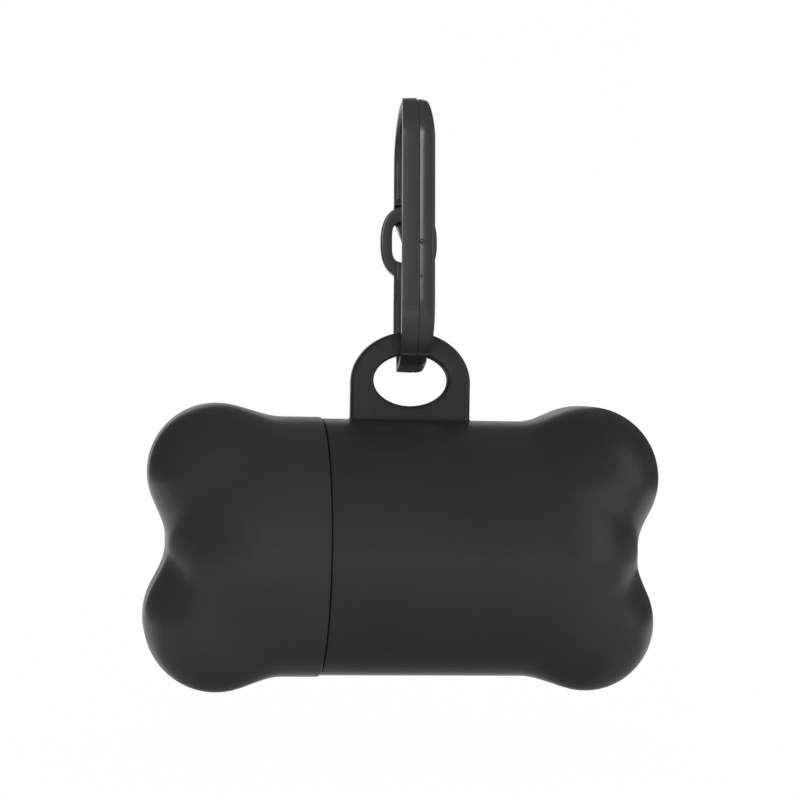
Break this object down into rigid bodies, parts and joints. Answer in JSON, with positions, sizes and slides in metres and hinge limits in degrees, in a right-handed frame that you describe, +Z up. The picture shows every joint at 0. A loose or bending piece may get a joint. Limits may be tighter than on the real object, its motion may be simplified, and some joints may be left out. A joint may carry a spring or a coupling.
{
  "type": "bag dispenser",
  "caption": "Bone-shaped plastic holder for a roll of dog waste bags, with a pull-off end cap, an outlet slot at the back and a snap clip hanging it from a leash.",
  "frame": {"origin": "where the clip hangs: the middle of the inside of its top bend", "axes": "+X along the bone, away from the cap; +Y to the back, where the bags come out; +Z up, from the bone to the clip"},
  "size_m": [0.0847, 0.0473, 0.0989],
  "materials": {
    "shell_plastic": "moulded, very fine even texture, satin",
    "clip_plastic": "moulded, smooth satin, with a parting line along the edge",
    "bag_film": "thin polyethylene film, folded and wound, with fine creases",
    "cardboard": "plain brown cardboard tube, wound in a spiral"
  },
  "bodies": {
    "clip": {"clip_frame": "clip_plastic"},
    "gate": {"clip_gate": "clip_plastic"},
    "dispenser": {"body_shell": "shell_plastic", "leading_bag": "bag_film"},
    "cap": {"cap_shell": "shell_plastic"},
    "roll": {"roll_core": "cardboard", "bag_02": "bag_film", "bag_03": "bag_film", "bag_04": "bag_film", "bag_05": "bag_film", "bag_06": "bag_film", "bag_07": "bag_film", "bag_08": "bag_film", "bag_09": "bag_film", "bag_10": "bag_film", "bag_11": "bag_film", "bag_12": "bag_film", "bag_13": "bag_film", "bag_14": "bag_film", "bag_15": "bag_film"}
  },
  "joints": [
    {"name": "gate_flex", "type": "hinge", "parent": "clip", "child": "gate", "pos_m": [0.00004, 0.00076, -0.03862], "axis": [0.9988, -0.0489, 0], "range_deg": [0, 22], "stiffness_Nm_per_rad": 0.2},
    {"name": "lug_swing", "type": "hinge", "parent": "clip", "child": "dispenser", "pos_m": [-0.00034, -0.00696, -0.03949], "axis": [1, 0, 0], "range_deg": [-75, 75]},
    {"name": "cap_pull", "type": "slide", "parent": "dispenser", "child": "cap", "axis": [-1, 0, 0], "range_m": [0, 0.04]},
    {"name": "roll_spin", "type": "hinge", "parent": "dispenser", "child": "roll", "pos_m": [-0.00204, -0.00696, -0.07644], "axis": [1, 0, 0], "continuous": true}
  ]
}
